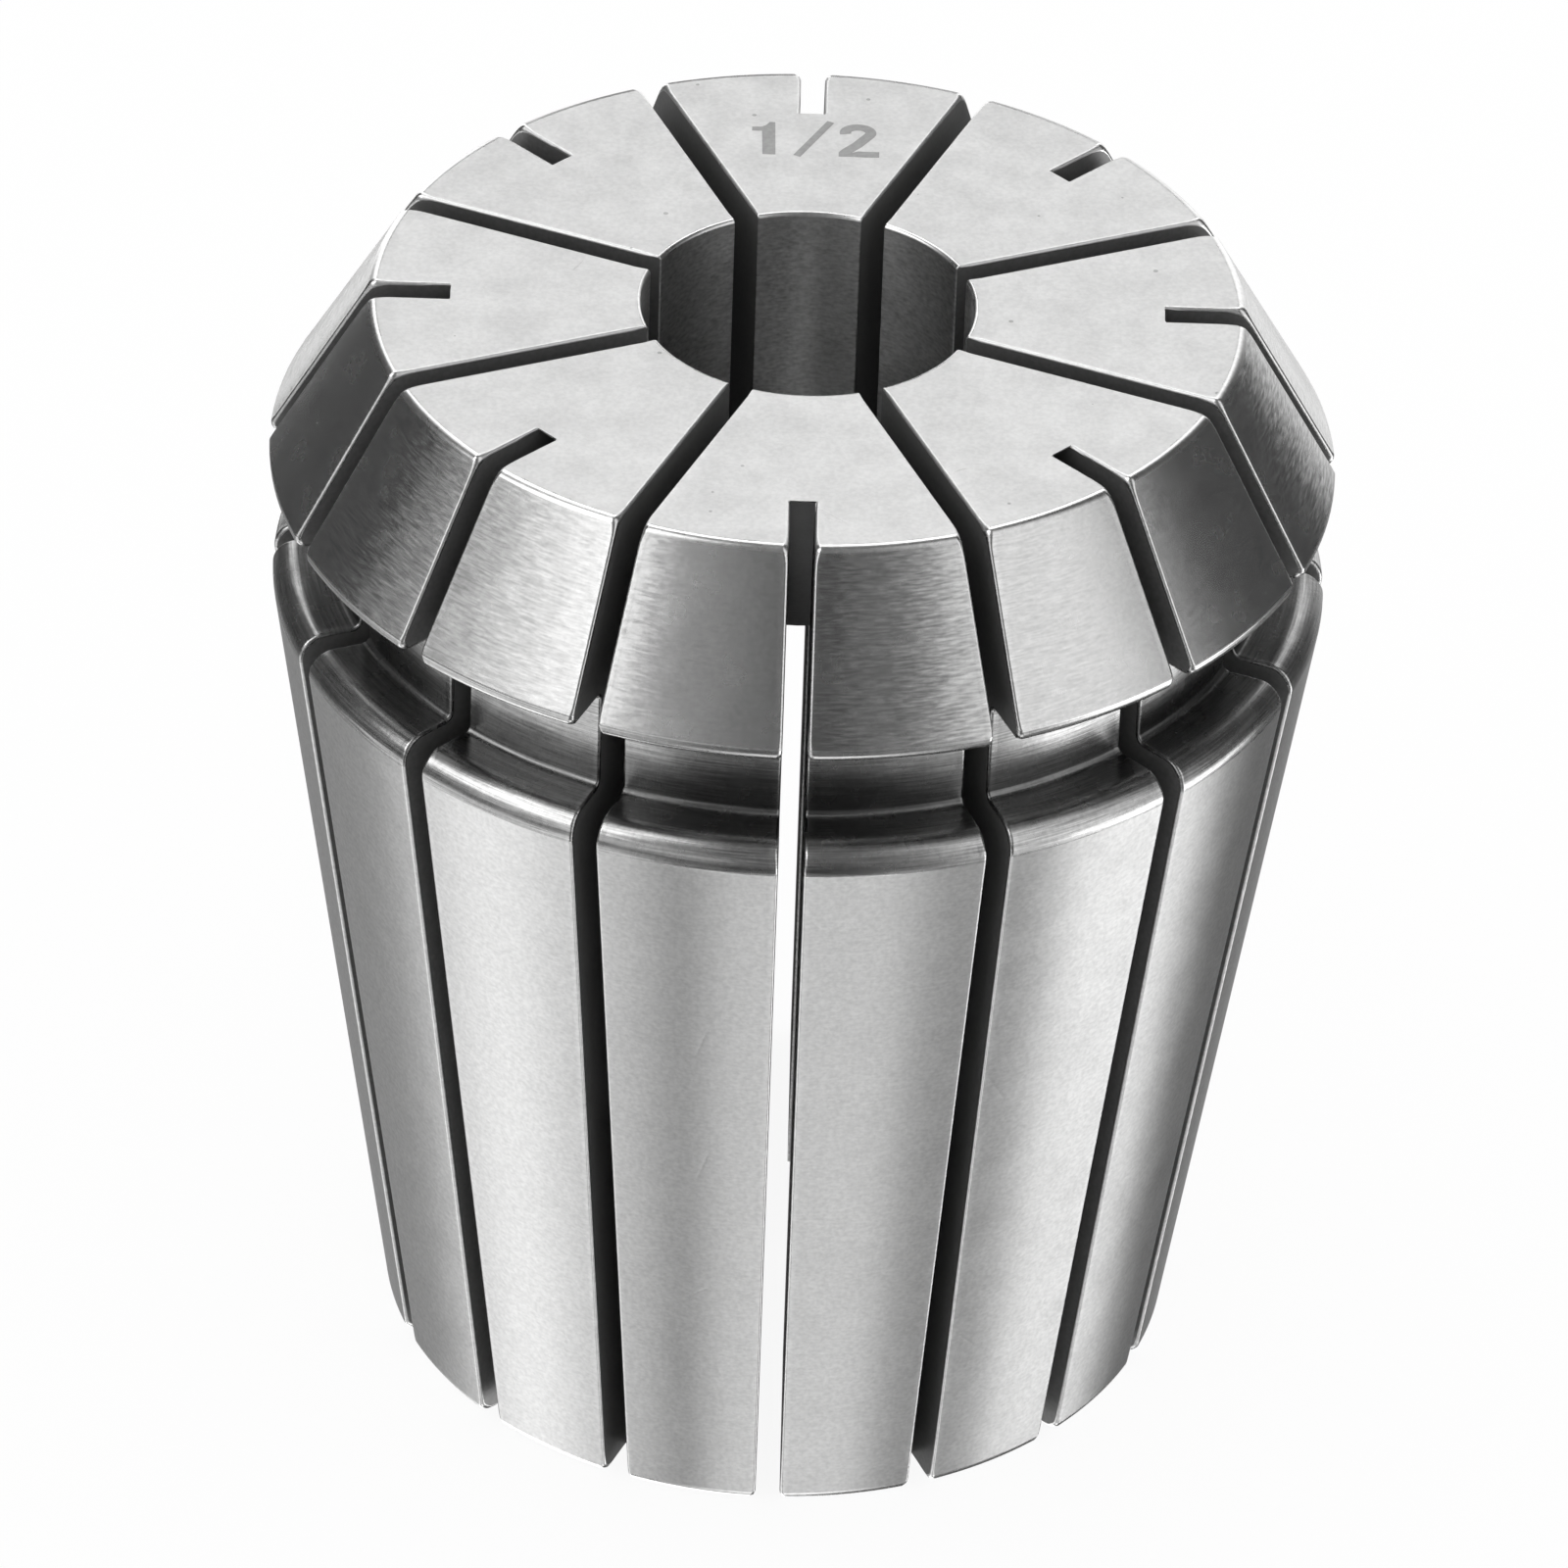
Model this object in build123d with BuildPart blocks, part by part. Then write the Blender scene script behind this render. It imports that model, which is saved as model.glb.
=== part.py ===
from build123d import *
from math import hypot, radians, sqrt, tan
import os

# Spring collet for a tool chuck, turned from one bar and slit from both ends.
# It stands on its small end, axis on Z, origin at the centre of the small end face.
# All lengths are millimetres, all angles degrees.

# Outside form, from the nut end down
overall_length = 46.0
head_length = 7.15          # nut end face down to the upper wall of the groove
groove_width = 4.15         # between the two walls of the extraction groove
outside_diameter = 41.0     # band below the nut cone, and large end of the seat taper
head_land = 0.55            # height of the band
nut_angle = 30.0            # side of the nut cone, from the axis
groove_depth = 2.6          # from the band in to the floor of the extraction groove
seat_angle = 8.0            # side of the taper that seats in the spindle, from the axis

# Bore for the tool shank
bore_diameter = 12.7
bore_chamfer = 0.12

# Rounded corners of the turned outline
face_round = 0.25           # rim of the nut end face
band_round = 0.2            # nut cone into the band
head_round = 0.4            # band into the groove
groove_round = 0.3          # both corners of the groove floor
shoulder_round = 1.0        # groove wall into the seat taper
tail_round = 0.5            # rim of the small end face

# Slits, one set sawn in from each end
slits_per_end = 8
slit_width = 0.95
saw_radius = 31.5
web_length = 10.6           # what is left closed at the bore, from the end face
face_notch = 3.0            # how far a slit breaks into the nut end face, from its rim
tail_notch = 2.06           # the same at the small end face
saw_run_out = 2.0           # travel of the saw clear of the work

# Radii and heights that follow from the sizes above
bore_radius = bore_diameter / 2
outside_radius = outside_diameter / 2
groove_radius = outside_radius - groove_depth
groove_top = overall_length - head_length
shoulder_height = groove_top - groove_width
band_top = groove_top + head_land
face_radius = outside_radius - (overall_length - band_top) * tan(radians(nut_angle))
tail_radius = outside_radius - shoulder_height * tan(radians(seat_angle))


def slit_cutter(rim_radius, notch):
    """Path of the saw for one slit: closed at the nut end, open at the small end.

    The saw stops where its edge meets the end face one notch in from the rim
    and leaves the web at the bore, so its centre is found from those two points.
    """
    notch_radius = rim_radius - notch
    root_run = notch_radius - bore_radius
    root_length = hypot(root_run, web_length)
    reach = sqrt(saw_radius**2 - (root_length / 2) ** 2)
    center_x = (notch_radius + bore_radius) / 2 + reach * web_length / root_length
    center_z = overall_length - web_length / 2 - reach * root_run / root_length
    travel = center_z + saw_run_out
    with BuildPart() as cutter:
        with BuildSketch(Plane.XZ):
            with Locations((center_x, center_z)):
                Circle(saw_radius)
            with Locations((center_x, center_z - travel / 2)):
                Rectangle(2 * saw_radius, travel)
        extrude(amount=slit_width / 2, both=True)
    return cutter.part


# Collet body: the turned outline, the bore, then the two sets of slits
face_rim = (face_radius, overall_length)
cone_foot = (outside_radius, band_top)
head_edge = (outside_radius, groove_top)
groove_upper = (groove_radius, groove_top)
groove_lower = (groove_radius, shoulder_height)
shoulder_edge = (outside_radius, shoulder_height)
tail_rim = (tail_radius, 0)

corner_rounds = [
    (face_rim, face_round),
    (cone_foot, band_round),
    (head_edge, head_round),
    (groove_upper, groove_round),
    (groove_lower, groove_round),
    (shoulder_edge, shoulder_round),
    (tail_rim, tail_round),
]

slits_from_tail = slit_cutter(face_radius, face_notch)
slits_from_face = mirror(
    slit_cutter(tail_radius, tail_notch), about=Plane.XY.offset(overall_length / 2)
)

with BuildPart() as collet_body:
    with BuildSketch(Plane.XZ) as outline:
        with BuildLine():
            Polyline(
                (0, overall_length),
                face_rim,
                cone_foot,
                head_edge,
                groove_upper,
                groove_lower,
                shoulder_edge,
                tail_rim,
                (0, 0),
                close=True,
            )
        make_face()
        for corner, size in corner_rounds:
            fillet(outline.vertices().sort_by_distance(corner)[0], size)
    revolve(axis=Axis.Z)

    with Locations((0, 0, overall_length)):
        Hole(bore_radius)
    bore_wall = collet_body.faces().filter_by(GeomType.CYLINDER).sort_by(SortBy.RADIUS)[0]
    chamfer(bore_wall.edges().filter_by(GeomType.CIRCLE), bore_chamfer)

    with PolarLocations(0, slits_per_end):
        add(slits_from_tail, mode=Mode.SUBTRACT)
    with PolarLocations(0, slits_per_end, start_angle=180 / slits_per_end):
        add(slits_from_face, mode=Mode.SUBTRACT)

collet_body.part.label = "collet_body"

os.makedirs("parts", exist_ok=True)
export_step(collet_body.part, "parts/collet_body.step")
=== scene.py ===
# %% [markdown]
# # A slit spring collet
# An ER collet is one piece of hardened steel. It is turned, sawn into staves from
# both ends, hardened and then ground where it touches the spindle, the nut and the
# tool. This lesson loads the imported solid, builds a finer skin with broken edges
# over it, and gives each machined surface its own finish.

import itertools
import math

import bpy
from mathutils import Matrix, Vector


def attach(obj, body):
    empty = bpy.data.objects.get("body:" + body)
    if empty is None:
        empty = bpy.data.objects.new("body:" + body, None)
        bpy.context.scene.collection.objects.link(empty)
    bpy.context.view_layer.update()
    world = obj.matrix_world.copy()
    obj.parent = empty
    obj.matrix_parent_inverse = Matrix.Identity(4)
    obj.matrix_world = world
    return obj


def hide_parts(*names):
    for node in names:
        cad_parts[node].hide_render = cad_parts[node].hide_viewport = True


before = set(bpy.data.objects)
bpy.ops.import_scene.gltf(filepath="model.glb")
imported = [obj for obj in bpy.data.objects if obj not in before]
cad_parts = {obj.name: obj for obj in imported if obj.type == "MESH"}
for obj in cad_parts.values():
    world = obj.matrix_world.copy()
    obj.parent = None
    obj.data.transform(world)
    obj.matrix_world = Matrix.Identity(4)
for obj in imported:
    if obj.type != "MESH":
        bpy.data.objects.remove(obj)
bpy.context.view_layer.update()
print("solids:", sorted(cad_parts))

# %% [markdown]
# ## Camera
# The picture was taken from above with a long lens. Three turns place the camera:
# a heading round the bore axis, a tilt down to the object and a small roll. A long
# lens keeps the two end faces nearly the same shape, so it matters more than the
# distance. The angles come from the circles and slits seen in the picture.

# %% Camera
MM = 0.001

camera = bpy.data.objects.new("camera", bpy.data.cameras.new("camera"))
bpy.context.scene.collection.objects.link(camera)
bpy.context.scene.camera = camera
camera.data.sensor_width = 36.0
camera.data.lens = 261.2
camera.data.clip_start = 0.01
camera.data.clip_end = 20.0

heading = Matrix.Rotation(math.radians(-0.33), 4, "Z")
tilt = Matrix.Rotation(math.radians(90.0 - 35.17), 4, "X")
roll = Matrix.Rotation(math.radians(2.044), 4, "Z")
camera.matrix_world = Matrix.Translation(Vector((-2.357, -365.35, 280.94)) * MM) @ heading @ tilt @ roll
print("camera at", [round(value, 4) for value in camera.matrix_world.translation])

# %% [markdown]
# ## Turned outline
# Seen from the side, the collet is a closed outline turned about the bore: end
# face, nut cone, band, groove, rounded shoulder, seat taper, small end face, bore.
# A lathe (Screw) modifier could spin it, but the slits have to cut it cleanly, so
# the outline is kept as a list of stations that later carry their own columns.
# Each station knows its radius, height, outward normal and the run of outline
# from the start, because the tool marks are laid out along that run. The end face
# lies a hair under 46 mm, which leaves room for the etched mark.

# %% Sizes of the outline, in millimetres
LENGTH = 45.994
OUTSIDE, GROOVE, BORE = 20.5, 17.9, 6.35          # radii
GROOVE_TOP, SHOULDER = 38.85, 34.7                # heights of the groove's two walls
BAND_TOP = GROOVE_TOP + 0.55
NUT_ANGLE, SEAT_ANGLE = math.radians(30.0), math.radians(8.0)
RIM = OUTSIDE - (LENGTH - BAND_TOP) * math.tan(NUT_ANGLE)
TAIL = OUTSIDE - SHOULDER * math.tan(SEAT_ANGLE)
WEB, SAW = 10.6, 31.5                             # closed length at the bore, saw radius
NOTCH_TOP, NOTCH_TAIL = RIM - 3.0, TAIL - 2.06    # radii where the notches end
HALF_SLIT = 0.475
NOSE = 0.15                                       # round at the inner end of a notch
print("rim %.2f, tail %.2f, notches end at %.2f and %.2f" % (RIM, TAIL, NOTCH_TOP, NOTCH_TAIL))

# %% [markdown]
# Every corner gets a small round, and each run between corners is divided finely
# enough for a smooth edge. Some runs need a station at an exact place: where a
# slit ends in an end face, and where it ends in the bore.

# %% Corners: radius, height, round, finish of the round, finish of the run after it, exact places
TOP_PLACES = (NOTCH_TOP - NOSE, NOTCH_TOP - 0.35 * NOSE, NOTCH_TOP)
TAIL_PLACES = (NOTCH_TAIL, NOTCH_TAIL - 0.35 * NOSE, NOTCH_TAIL - NOSE)
BORE_PLACES = tuple(web + step for web in (WEB, LENGTH - WEB) for step in (-0.3, 0.0, 0.3))
corners = [
    (BORE, LENGTH, 0.18, "tumbled", "end_face", TOP_PLACES),
    (RIM, LENGTH, 0.40, "tumbled", "nut_cone", ()),
    (OUTSIDE, BAND_TOP, 0.2, "tumbled", "groove", ()),
    (OUTSIDE, GROOVE_TOP, 0.4, "groove", "groove", ()),
    (GROOVE, GROOVE_TOP, 0.3, "groove", "groove", ()),
    (GROOVE, SHOULDER, 0.3, "groove", "groove", ()),
    (OUTSIDE, SHOULDER, 1.0, "groove", "seat", ()),
    (TAIL, 0.0, 0.5, "tumbled", "end_face", TAIL_PLACES),
    (BORE, 0.0, 0.18, "tumbled", "bore", BORE_PLACES),
]
print("corners:", len(corners))


def corner_turn(index):
    """Directions in and out of a corner, its turn and the length its round takes."""
    before, here, after = (Vector(corners[(index + step) % len(corners)][:2]) for step in (-1, 0, 1))
    way_in, way_out = (here - before).normalized(), (after - here).normalized()
    turn = math.atan2(way_in.x * way_out.y - way_in.y * way_out.x, way_in.dot(way_out))
    return way_in, way_out, turn, corners[index][2] * math.tan(abs(turn) / 2)


# %% [markdown]
# A round is cut into short steps. A long run has coarse ones, with a few close
# stations beside each corner, because the broken edges of the slits change there.

# %% Stations along the outline
ROUND_STEP, RUN_STEP, LONG_RUN = 0.13, 1.6, 3.0
NEAR_CORNER = (0.12, 0.26, 0.42, 0.62, 0.9)
CLEAR_OF_CORNER, CLEAR_OF_EXACT = 1.2, 0.5
stations = []


def add_station(place, normal, finish):
    run = 0.0
    if stations:
        run = stations[-1]["run"] + (place - stations[-1]["place"]).length
    stations.append({"place": place.copy(), "normal": normal.copy(), "finish": finish, "run": run})


for index, (radius, height, size, round_finish, run_finish, exact) in enumerate(corners):
    way_in, way_out, turn, taken = corner_turn(index)
    side = Vector((-way_in.y, way_in.x))
    bulge = 1.0 if turn < 0 else -1.0
    start = Vector((radius, height)) - way_in * taken
    centre = start - side * size * bulge
    steps = max(3, round(abs(turn) * size / ROUND_STEP) + 2)
    for step in range(steps + 1):
        angle = turn * step / steps
        normal = Vector((side.x * math.cos(angle) - side.y * math.sin(angle),
                         side.x * math.sin(angle) + side.y * math.cos(angle)))
        finish = round_finish if step < steps else run_finish
        add_station(centre + normal * size * bulge, normal, finish)
    next_index = (index + 1) % len(corners)
    reach_in = corner_turn(next_index)[3]
    leave = stations[-1]["place"].copy()
    arrive = Vector(corners[next_index][:2]) - way_out * reach_in
    length = (arrive - leave).length
    count = max(1, round(length / RUN_STEP))
    marks = [step / count for step in range(1, count)]
    if length > LONG_RUN:
        close = [value / length for value in NEAR_CORNER]
        inner = [mark for mark in marks if CLEAR_OF_CORNER < mark * length < length - CLEAR_OF_CORNER]
        marks = close + inner + [1.0 - value for value in close[::-1]]
    along_x = abs(way_out.x) > 0.5
    fixed = [(value - leave.x) / way_out.x if along_x else (value - leave.y) / way_out.y for value in exact]
    marks = [mark for mark in marks if all(abs(mark * length - along) > CLEAR_OF_EXACT for along in fixed)]
    for mark in sorted(marks + [along / length for along in fixed]):
        add_station(leave.lerp(arrive, mark), stations[-1]["normal"], run_finish)
print("stations:", len(stations), " run: %.1f mm" % stations[-1]["run"])

# %% [markdown]
# ## Slits
# Eight slits are sawn up from the small end and eight down from the nut end, in
# turn. The saw stops before it parts the staves, so a slit's closed end is an arc
# of the saw. It shows as a notch in the end face and leaves a web at the bore.
# A Boolean would cut these too, but its thin triangles leave no room for a clean
# bevel. Here the slit's walls are planned first and the skin is built up to them.

# %% Saw arcs
def saw_arc(rim_notch):
    """Centre of the saw for a slit that is closed at the nut end."""
    root_run = rim_notch - BORE
    root_length = math.hypot(root_run, WEB)
    reach = math.sqrt(SAW**2 - (root_length / 2) ** 2)
    return Vector(((rim_notch + BORE) / 2 + reach * WEB / root_length,
                   LENGTH - WEB / 2 - reach * root_run / root_length))


tail_saw = saw_arc(NOTCH_TOP)
face_saw = saw_arc(NOTCH_TAIL)
face_saw.y = LENGTH - face_saw.y
print("saw centres:", [[round(value, 2) for value in centre] for centre in (tail_saw, face_saw)])

# %% [markdown]
# A station lies inside the saw's path, outside it or just on its arc. The edge of
# an open slit is broken by tumbling, and more so at the outer corners, where the
# parts knock together.

# %% Slits at each station
ON_THE_ARC = 1e-4


def slit_state(kind, place):
    """Whether a slit is open, closed or just ending at a station of the outline."""
    centre, flip = (tail_saw, 1.0) if kind == "tail" else (face_saw, -1.0)
    gap = (place - centre).length - SAW
    if abs(gap) < ON_THE_ARC:
        return "notch" if place.x > BORE + 1.0 else "web"
    if gap < 0 or (place.y - centre.y) * flip < 0:
        return "open"
    return "closed"


# Radius, height and how much more the edge is broken there
TUMBLED = [(RIM, LENGTH, 0.15), (OUTSIDE, GROOVE_TOP + 0.15, 0.14),
           (OUTSIDE - 0.2, SHOULDER - 0.2, 0.05), (TAIL, 0.0, 0.12)]
TUMBLED_REACH = 0.42
BREAK_AT_BORE, BREAK_OUTSIDE, BORE_FADE = 0.05, 0.08, 0.6
for station in stations:
    station["tail"] = slit_state("tail", station["place"])
    station["face"] = slit_state("face", station["place"])
    off_bore = min(1.0, max(0.0, (station["place"].x - BORE) / BORE_FADE))
    more = sum(size * math.exp(-((station["place"] - Vector((radius, height))).length / TUMBLED_REACH) ** 2)
               for radius, height, size in TUMBLED)
    station["break"] = BREAK_AT_BORE + BREAK_OUTSIDE * off_bore + more
print("slit ends:", [(kind, station[kind], [round(value, 2) for value in station["place"]])
                     for station in stations for kind in ("tail", "face") if station[kind] in ("notch", "web")])

# %% [markdown]
# ## One half stave
# The collet repeats every 22.5 degrees, mirrored in turn: a half stave runs from
# the middle of a tail slit to the middle of a face slit. At each station a row of
# points crosses it. Beside an open slit the last points roll over the edge, which
# is the small break that catches the light on the real collet.

# %% Points beside a slit
PITCH = math.radians(22.5)
ROLL = 1.0 - math.sqrt(0.5)      # place of the middle point of a quarter round
FLAT_BESIDE = 0.2
NOSE_IN, NOSE_DOWN = 0.65 * NOSE, 0.62 * NOSE


def surface_normal(station, place):
    out = Vector((place.x, place.y, 0.0)).normalized() * station["normal"].x
    return Vector((out.x, out.y, station["normal"].y))


def beside(station, away, depth):
    """Point at a distance from the middle plane of the slit and a depth under the skin."""
    radius = station["place"].x - depth * station["normal"].x
    height = station["place"].y - depth * station["normal"].y
    return Vector((math.sqrt(radius**2 - away**2), away, height))


def slit_side(row, kind):
    """Points from the middle of a slit outwards, each with its normal and edge value."""
    station = stations[row]
    state, size = station[kind], station["break"]
    wall = Vector((0.0, -1.0, 0.0))
    aways = (0.0, HALF_SLIT, HALF_SLIT + ROLL * size, HALF_SLIT + size, HALF_SLIT + size + FLAT_BESIDE)
    depths = (0.0, size, ROLL * size, 0.0, 0.0) if state == "open" else (0.0,) * 5
    places = [beside(station, away, depth) for away, depth in zip(aways, depths)]
    normals = [surface_normal(station, place) for place in places]
    edges = [0.0] * 5
    if state in ("open", "notch"):
        normals[1] = wall
        normals[2] = (normals[2] + wall).normalized()
        edges = [1.0, 1.0, 1.0, 0.6, 0.0]
    if state == "notch":
        up = station["normal"].y
        for k in (0, 1):
            places[k] = Vector((places[k].x - NOSE_IN, places[k].y, places[k].z - up * NOSE_DOWN))
            normals[k] = Vector((0.70, 0.0, up * 0.70))
        places[2].z -= up * ROLL * size
    return places, normals, edges


print("edge break: %.2f to %.2f mm" % (min(station["break"] for station in stations),
                                       max(station["break"] for station in stations)))

# %% [markdown]
# Between two slits the points are spread evenly by angle. The face-slit side is
# the same as the tail-slit side, reflected into its place.

# %% Rows of points across the half stave
BETWEEN = 9


def mirrored(vector):
    """The same vector, reflected from one slit's middle plane to the other's."""
    return Matrix.Rotation(PITCH, 3, "Z") @ Vector((vector.x, -vector.y, vector.z))


def stave_row(row):
    station = stations[row]
    left, left_normals, left_edges = slit_side(row, "tail")
    right, right_normals, right_edges = slit_side(row, "face")
    right = [mirrored(place) for place in right]
    right_normals = [mirrored(normal) for normal in right_normals]
    first = math.atan2(left[4].y, left[4].x)
    last = math.atan2(right[4].y, right[4].x)
    middle = []
    for step in range(1, BETWEEN):
        angle = first + (last - first) * step / BETWEEN
        radius, height = station["place"]
        middle.append(Vector((radius * math.cos(angle), radius * math.sin(angle), height)))
    places = left + middle + right[::-1]
    normals = left_normals + [surface_normal(station, place) for place in middle] + right_normals[::-1]
    edges = left_edges + [0.0] * len(middle) + right_edges[::-1]
    return places, normals, edges


rows = [stave_row(row) for row in range(len(stations))]
ACROSS = len(rows[0][0])
print("points across a half stave:", ACROSS)

# %% [markdown]
# Faces are listed as corners, each with a place, a normal, an edge value and the
# outline run, so the broken edges and the flat slit walls can each keep their own
# smooth shading. The cells over an open slit are left out.

# %% Skin of the half stave
RUN_PAST_END = 0.1       # the run goes on past the last station
stave_faces = []


def corner(place, normal, edge, run):
    return (place, normal.normalized(), edge, run)


def grid_corner(row, column):
    places, normals, edges = rows[row]
    return corner(places[column], normals[column], edges[column], stations[row]["run"])


def add_face(corners_of_face, finish):
    """Keeps a face, turned so that its front follows its normals."""
    places = [item[0] for item in corners_of_face]
    facing = Vector()
    for here, after in zip(places, places[1:] + places[:1]):
        facing += here.cross(after)
    wanted = sum((item[1] for item in corners_of_face), Vector())
    if facing.dot(wanted) < 0:
        corners_of_face = corners_of_face[::-1]
    stave_faces.append((corners_of_face, finish))


for row in range(len(stations)):
    below = (row + 1) % len(stations)
    for column in range(ACROSS - 1):
        kind = {0: "tail", ACROSS - 2: "face"}.get(column)
        if kind and "open" in (stations[row][kind], stations[below][kind]):
            continue
        square = [grid_corner(row, column), grid_corner(row, column + 1),
                  grid_corner(below, column + 1), grid_corner(below, column)]
        if below == 0:
            end = stations[-1]["run"] + RUN_PAST_END
            square[2:] = [(item[0], item[1], item[2], end) for item in square[2:]]
        add_face(square, stations[row]["finish"])
print("skin faces:", len(stave_faces))

# %% [markdown]
# The slit walls are flat, so each is one polygon between the broken edge and the
# saw's arc. The closed end is a strip of quads that follows the arc.

# %% Walls and closed ends of the slits
ROOT_STEPS, ROOT_RUN = 18, 0.7      # strips of a closed end, and the run that each takes


def slit_inside(kind):
    centre, flip = (tail_saw, 1.0) if kind == "tail" else (face_saw, -1.0)
    turn_over = (lambda vector: vector) if kind == "tail" else mirrored
    middle, wall_column = (0, 1) if kind == "tail" else (ACROSS - 1, ACROSS - 2)
    ends = {station[kind]: row for row, station in enumerate(stations) if station[kind] in ("notch", "web")}
    wall_normal = turn_over(Vector((0.0, -1.0, 0.0)))

    def arc_angle(row):
        place = rows[row][0][wall_column]
        return math.atan2(place.z - centre.y, math.hypot(place.x, place.y) - centre.x)

    notch_angle = arc_angle(ends["notch"]) % math.tau
    web_angle = arc_angle(ends["web"]) % math.tau
    strips = []
    for step in range(ROOT_STEPS + 1):
        angle = notch_angle + (web_angle - notch_angle) * step / ROOT_STEPS
        place = centre + Vector((math.cos(angle), math.sin(angle))) * SAW
        toward = turn_over(Vector((-math.cos(angle), 0.0, -math.sin(angle))))
        pair = [turn_over(Vector((place.x, away, place.y))) for away in (0.0, HALF_SLIT)]
        if step in (0, ROOT_STEPS):
            row = ends["notch" if step == 0 else "web"]
            pair = [rows[row][0][middle], rows[row][0][wall_column]]
        strips.append([corner(spot, toward, 0.0, step * ROOT_RUN) for spot in pair])
    for upper, lower in zip(strips, strips[1:]):
        add_face([upper[0], upper[1], lower[1], lower[0]], "shaded_saw_root")
    open_rows = [row for row, station in enumerate(stations) if station[kind] == "open"]
    first, last = (ends["notch"], ends["web"]) if kind == "tail" else (ends["web"], ends["notch"])
    order = sorted(open_rows, key=lambda row: (row - first) % len(stations))
    outline = [corner(rows[row][0][wall_column], wall_normal, 0.0, 0.0)
               for row in [first] + order + [last]]
    arc = [(strip[1][0], wall_normal, 0.0, 0.0) for strip in strips[1:-1]]
    if kind == "tail":
        arc = arc[::-1]
    add_face(outline + arc, "sawn")


slit_inside("tail")
slit_inside("face")
print("faces of a half stave:", len(stave_faces))

# %% [markdown]
# ## The whole collet
# Sixteen half staves, every other one mirrored, close the ring. Points that meet
# are welded by their place, within a tenth of a micrometre. The normals are stored
# on the mesh, so the skin shades as one turned surface although the slits cut it.

# %% Sixteen half staves, welded
FINISHES = ["end_face", "nut_cone", "groove", "seat", "bore", "sawn", "shaded_saw_root", "tumbled"]
WELD_STEPS_PER_MM = 10000
points, point_index, point_edge, point_run = [], {}, [], []
faces, face_finish, corner_normals = [], [], []


def welded(place, edge, run):
    """Index of the point at a place, shared with any point within 0.1 micrometre."""
    key = tuple(round(value * WELD_STEPS_PER_MM) for value in place)
    if key in point_index:
        return point_index[key]
    for step in itertools.product((-1, 0, 1), repeat=3):
        near = (key[0] + step[0], key[1] + step[1], key[2] + step[2])
        if near in point_index:
            return point_index[near]
    point_index[key] = len(points)
    points.append(place * MM)
    point_edge.append(edge)
    point_run.append(run)
    return point_index[key]


for sector in range(16):
    turned = Matrix.Rotation(PITCH * sector, 3, "Z")
    flipped = sector % 2 == 1
    for corners_of_face, finish in stave_faces:
        items = corners_of_face[::-1] if flipped else corners_of_face
        places = [turned @ (mirrored(item[0]) if flipped else item[0]) for item in items]
        normals = [turned @ (mirrored(item[1]) if flipped else item[1]) for item in items]
        loop = [welded(place, item[2], item[3]) for place, item in zip(places, items)]
        faces.append(loop)
        face_finish.append(FINISHES.index(finish))
        corner_normals.extend(normals)

mesh = bpy.data.meshes.new("collet_dressed")
mesh.from_pydata(points, [], faces)
mesh.polygons.foreach_set("material_index", face_finish)
mesh.shade_smooth()
mesh.normals_split_custom_set(corner_normals)
for name, values in (("edge", point_edge), ("run", point_run)):
    mesh.attributes.new(name, "FLOAT", "POINT").data.foreach_set("value", values)
collet = bpy.data.objects.new("collet_dressed", mesh)
bpy.context.scene.collection.objects.link(collet)
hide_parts("collet_body")
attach(collet, "root")
print("collet:", len(mesh.vertices), "points,", len(mesh.polygons), "faces")

# %% [markdown]
# ## Bore mark
# The bore size, one half inch, is etched on the end face with a laser. It has no
# depth to speak of, only a darker and rougher skin. A text object would need a font
# of the right width, so the plain numerals are drawn as outlines and made into a
# closed skin a few thousandths of a millimetre thick.

# %% Outlines of the numerals, in millimetres on the end face
NUMERAL_STROKE, SLASH_STROKE = 0.44, 0.30


def stroke(path, width):
    """Outline of a stroke of even width along a path."""
    left, right = [], []
    for index, place in enumerate(path):
        before, after = path[max(0, index - 1)], path[min(len(path) - 1, index + 1)]
        way = (after - before).normalized()
        side = Vector((-way.y, way.x)) * width / 2
        left.append(place + side)
        right.append(place - side)
    return left + right[::-1]


def as_vectors(*places):
    return [Vector(place) for place in places]


bowl = [Vector((1.80 + 0.50 * math.cos(math.radians(angle)), 12.33 + 0.40 * math.sin(math.radians(angle))))
        for angle in range(196, -37, -14)]
two = stroke(bowl + as_vectors((1.80, 11.45), (1.38, 10.96)), NUMERAL_STROKE)
half = len(two) // 2
foot = as_vectors((1.80, 10.96), (2.64, 10.96), (2.64, 10.56), (1.06, 10.56), (1.06, 10.86))
numerals = {
    "one": as_vectors((-2.34, 12.26), (-1.95, 12.26), (-1.91, 10.56), (-1.40, 10.56), (-1.44, 12.92),
                      (-1.66, 12.92), (-1.78, 12.70), (-1.97, 12.56), (-2.34, 12.54)),
    "slash": stroke(as_vectors((-0.57, 10.50), (0.73, 13.06)), SLASH_STROKE),
    "two": two[:half] + foot + two[half:],
}
print("numerals:", {name: len(outline) for name, outline in numerals.items()})

# %% [markdown]
# Each outline becomes a thin closed slab. Its top stands a few thousandths of a
# millimetre above the end face: a skin at the very same height would flicker.

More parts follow.
